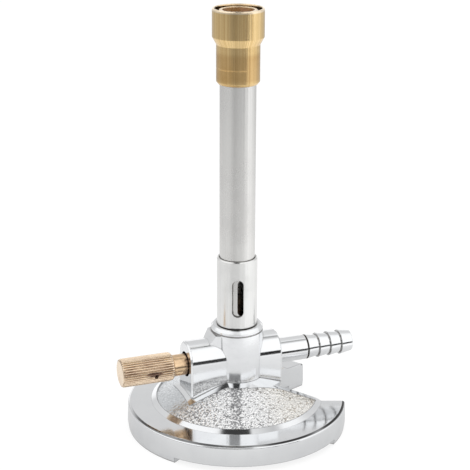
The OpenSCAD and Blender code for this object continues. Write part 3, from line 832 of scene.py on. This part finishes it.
# %% Steel finishes
tube = metal("tube_steel", (0.74, 0.735, 0.72), (0.60, 0.59, 0.58), 0.20, 0.12,
             around=26.0, along=5.0, grain=0.06, stretch=0.6)
sleeve = metal("sleeve_steel", (0.80, 0.80, 0.79), (0.68, 0.68, 0.67), 0.16, 0.12,
               around=20.0, along=8.0, grain=0.05, stretch=0.5)
fastener = metal("fastener_steel", (0.62, 0.62, 0.62), (0.45, 0.45, 0.45), 0.28, 0.20,
                 around=12.0, along=200.0, grain=0.05, edge=0.15 * MM)
dress(tube["material"], "burner_tube")
dress(sleeve["material"], "air_sleeve")
dress(fastener["material"], "base_screws", "lock_washers", "stop_clip", "sleeve_ring")

# %% [markdown]
# ## Brass: the knob, the valve pieces and the head
# The three brasses differ in how they aged, so each gets its own colours. The knob has been
# turned by many hands and is the palest and most worn.

# %% Knob brass
KNOB_R = 5.3 * MM
KNURL_DEPTH = 0.38 * MM

knob = metal("knob_brass", (0.95, 0.78, 0.58), (0.62, 0.44, 0.33), 0.14, 0.20,
             axis="X", around=14.0, along=90.0, grain=0.10, edge=0.12 * MM, smear_scale=160.0,
             lines=0.3, corner_amount=0.5)
print("brass for the knob:", knob["material"].name)

# %% [markdown]
# Its ridges are bright and the roots between them are brown. The distance from the knob's
# axis tells ridge from root.

# %% Brown between the ridges
ROOT_EDGES = [KNOB_R - share * KNURL_DEPTH for share in (1.7, 1.4, 1.1, 0.5)]
ALONG_GROOVES = (1, 1, 0.3)
STAIN_SCALE = 500.0
STAIN_NOISE, STAIN_AMOUNTS = (0.42, 0.66), (0.15, 0.95)
ROOT_BROWN = (0.22, 0.125, 0.08, 1)
ROOT_ROUGHER = 0.25

tree = knob["tree"]
x, _, z, flat = split_place(tree, knob["place"])
root = band(tree, length_of(tree, flat), *ROOT_EDGES)
drawn_out = add(tree, "ShaderNodeVectorMath", {0: knob["place"], 1: ALONG_GROOVES},
                operation="MULTIPLY").outputs[0]
stain = ramp_between(tree, noise(tree, drawn_out, STAIN_SCALE), *STAIN_NOISE, *STAIN_AMOUNTS)
knob_colour = mix_colour(tree, product(tree, root, stain), knob["colour"], ROOT_BROWN)
feed(tree, knob["surface"]["Roughness"],
     calc(tree, "ADD", knob["gloss"], calc(tree, "MULTIPLY", root, ROOT_ROUGHER)))
print("ridges are", KNURL_DEPTH / MM, "mm deep")

# %% [markdown]
# A small steel pin holds the knob on its stem. Round it lies a dark blot, long along the knob
# and short across it: partly rust from the pin, partly a painted reflection.

# %% Rust and painted reflection round the pin
pin_low, pin_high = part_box("knob_pin")
BLOT_Z = 1.2 * MM - (pin_low[0] + pin_high[0]) / 2
BLOT_SHORT, BLOT_LONG = 2.8, 0.7
BLOT_SCALE, BLOT_RAGGED = 900.0, 5 * MM
BLOT_EDGES = (0.2 * MM, -1.0 * MM)
RUST_AND_REFLECTION, RUST_AND_REFLECTION_AMOUNT = (0.13, 0.055, 0.045), 0.8

from_pin = length_of(tree, add(tree, "ShaderNodeCombineXYZ", {
    0: calc(tree, "MULTIPLY", x, BLOT_SHORT),
    1: calc(tree, "MULTIPLY", calc(tree, "SUBTRACT", z, BLOT_Z), BLOT_LONG)}).outputs[0])
ragged = calc(tree, "MULTIPLY_ADD", noise(tree, drawn_out, BLOT_SCALE), -BLOT_RAGGED, from_pin)
blot = ramp_between(tree, ragged, *BLOT_EDGES)
feed(tree, knob["surface"]["Base Color"], tinted(tree, knob_colour, RUST_AND_REFLECTION, blot, RUST_AND_REFLECTION_AMOUNT))
dress(knob["material"], "knob")
pin = metal("pin_steel", (0.20, 0.12, 0.10), (0.10, 0.05, 0.04), 0.45, 0.30,
            axis="X", around=8.0, along=400.0, grain=0.15, edge=0.1 * MM)
dress(pin["material"], "knob_pin")

# %% [markdown]
# The valve's own brass is plain turned stock. The stem is darker toward where it enters the
# arm, and the arm's end face tells the material where that is.

# %% Valve brass
ARM_FACE = -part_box("valve_body")[0][0]
ARM_END_EDGES = (ARM_FACE - 0.2 * MM, ARM_FACE - 2.4 * MM)
ARM_END_SCALE, ARM_END_RAGGED = 420.0, 5 * MM
ARM_END_DARK, ARM_END_AMOUNT = (0.16, 0.09, 0.06), 0.8

# Painted shade: a dark brown corner colour with a wide reach.
valve = metal("valve_brass", (0.86, 0.63, 0.40), (0.42, 0.27, 0.17), 0.14, 0.18,
              axis="X", around=3.0, along=300.0, grain=0.05, edge=0.12 * MM, lines=0.45,
              corner_reach=1.6 * MM, corner_amount=0.9, corner=(0.08, 0.05, 0.035))
tree = valve["tree"]
along = split_place(tree, valve["place"])[2]
ragged = calc(tree, "MULTIPLY_ADD", noise(tree, valve["place"], ARM_END_SCALE), -ARM_END_RAGGED, along)
darkened_at_arm = tinted(tree, valve["colour"], ARM_END_DARK, ramp_between(tree, ragged, *ARM_END_EDGES), ARM_END_AMOUNT)
feed(tree, valve["surface"]["Base Color"], darkened_at_arm)
dress(valve["material"], "valve_stem", "valve_seat", "gas_jet")

# %% [markdown]
# The head is the warmest piece, as the flame sits on it. Its skirt has dulled a little, with
# the lower lip still bright, and its top rim carries a pale painted highlight. Both tones follow
# the height.

# %% Head brass
SKIRT_LOW, SKIRT_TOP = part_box("flame_head")[0][2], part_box("flame_ring")[0][2] - 1.0 * MM
SKIRT_FADE = 2.5 * MM
SKIRT_LIP, LIP_AMOUNTS = (SKIRT_LOW + 0.8 * MM, SKIRT_LOW + 2.4 * MM), (0.35, 1.0)
DULLED, DULLED_AMOUNT = (0.80, 0.74, 0.68, 1), 0.9
RING_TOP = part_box("flame_ring")[1][2]
RIM_HIGHLIGHT_FROM = (RING_TOP - 0.4 * MM, RING_TOP - 0.1 * MM)
RIM_HIGHLIGHT, RIM_HIGHLIGHT_AMOUNT = (1.0, 0.86, 0.66), 0.8

head = metal("head_brass", (0.92, 0.69, 0.36), (0.53, 0.33, 0.11), 0.10, 0.12,
             around=34.0, along=8.0, grain=0.22, stretch=0.4, edge=0.45 * MM, lines=0.6,
             corner=(0.40, 0.22, 0.11), corner_amount=0.2)
tree = head["tree"]
z, flat = split_place(tree, head["place"])[2:]
dulled = product(tree, ramp_between(tree, z, SKIRT_TOP, SKIRT_TOP - SKIRT_FADE),
                 ramp_between(tree, z, *SKIRT_LIP, *LIP_AMOUNTS), DULLED_AMOUNT)
head_colour = mix_colour(tree, dulled, head["colour"], DULLED, "MULTIPLY")
# Painted highlight: the top rim is laid pale.
painted_rim_highlight = ramp_between(tree, z, *RIM_HIGHLIGHT_FROM)
head_colour = tinted(tree, head_colour, RIM_HIGHLIGHT, painted_rim_highlight, RIM_HIGHLIGHT_AMOUNT)
print("skirt from", round(SKIRT_LOW / MM, 1), "to", round(SKIRT_TOP / MM, 1), "mm")

# %% [markdown]
# The flame has browned the first millimetres of the bore, in patches. The brown is a skin of
# oxide on the brass, so the surface there is rougher and only half a metal.

# %% Brown in the bore
BORE_R = 5.65 * MM
BORE_EDGES = (BORE_R + 0.12 * MM, BORE_R + 0.04 * MM)
BELOW_LIP = (RING_TOP - 0.15 * MM, RING_TOP - 0.6 * MM)
DEEPER, DEEPER_AMOUNTS = (RING_TOP - 5.0 * MM, RING_TOP - 1.5 * MM), (0.5, 1.0)
PATCH_SCALE = 260.0
PATCH_NOISE, PATCH_AMOUNTS = (0.38, 0.62), (0.35, 1.0)
BORE_BROWN = (0.56, 0.33, 0.19, 1)
BORE_LESS_METAL, BORE_ROUGHER = 0.55, 0.3

patchy = ramp_between(tree, noise(tree, head["place"], PATCH_SCALE),
                      *PATCH_NOISE, *PATCH_AMOUNTS)
browned = product(tree, ramp_between(tree, length_of(tree, flat), *BORE_EDGES),
                  ramp_between(tree, z, *BELOW_LIP), patchy,
                  ramp_between(tree, z, *DEEPER, *DEEPER_AMOUNTS))
feed(tree, head["surface"]["Base Color"], mix_colour(tree, browned, head_colour, BORE_BROWN))
feed(tree, head["surface"]["Metallic"],
     calc(tree, "MULTIPLY_ADD", browned, -BORE_LESS_METAL, 1.0))
feed(tree, head["surface"]["Roughness"],
     calc(tree, "ADD", head["gloss"], calc(tree, "MULTIPLY", browned, BORE_ROUGHER)))
dress(head["material"], "flame_head", "flame_ring")

# %% [markdown]
# ## Rubber and fibre
# Two rubber rings seal the stem and one seals the hose inlet; a fibre washer seals the jet.
# None of them is metal, so they get a plain recipe of their own: a dark body colour that a
# fine noise breaks up.

# %% Seals
MOTTLE_DEPTH = 0.1 * MM
MOTTLE_STRENGTH = 0.2
DUST_COARSER = 0.2


def soft_finish(name, colour, dusty, rough, scale):
    """A matt finish for rubber or fibre, mottled by noise."""
    material, tree = new_material(name)
    surface = add(tree, "ShaderNodeBsdfPrincipled", {"Roughness": rough})
    add(tree, "ShaderNodeOutputMaterial", {"Surface": surface.outputs[0]})
    place = place_on(tree, "Z")
    dust = place_group(tree, smears, Position=place, Scale=scale * DUST_COARSER).outputs[0]
    bump = add(tree, "ShaderNodeBump", {"Strength": MOTTLE_STRENGTH, "Distance": MOTTLE_DEPTH,
                                        "Height": noise(tree, place, scale, detail=5.0)})
    feed(tree, surface.inputs["Base Color"], mix_colour(tree, dust, (*colour, 1), (*dusty, 1)))
    feed(tree, surface.inputs["Normal"], bump.outputs[0])
    return material


rubber = soft_finish("seal_rubber", (0.03, 0.03, 0.03), (0.10, 0.10, 0.10), 0.6, 1500.0)
fibre = soft_finish("fibre", (0.36, 0.17, 0.10), (0.52, 0.33, 0.22), 0.8, 2200.0)
dress(rubber, "stem_seals", "inlet_seal")
dress(fibre, "jet_washer")

# %% [markdown]
# ## The number of materials is printed last.

# %% Finish
print("materials:", len(bpy.data.materials))
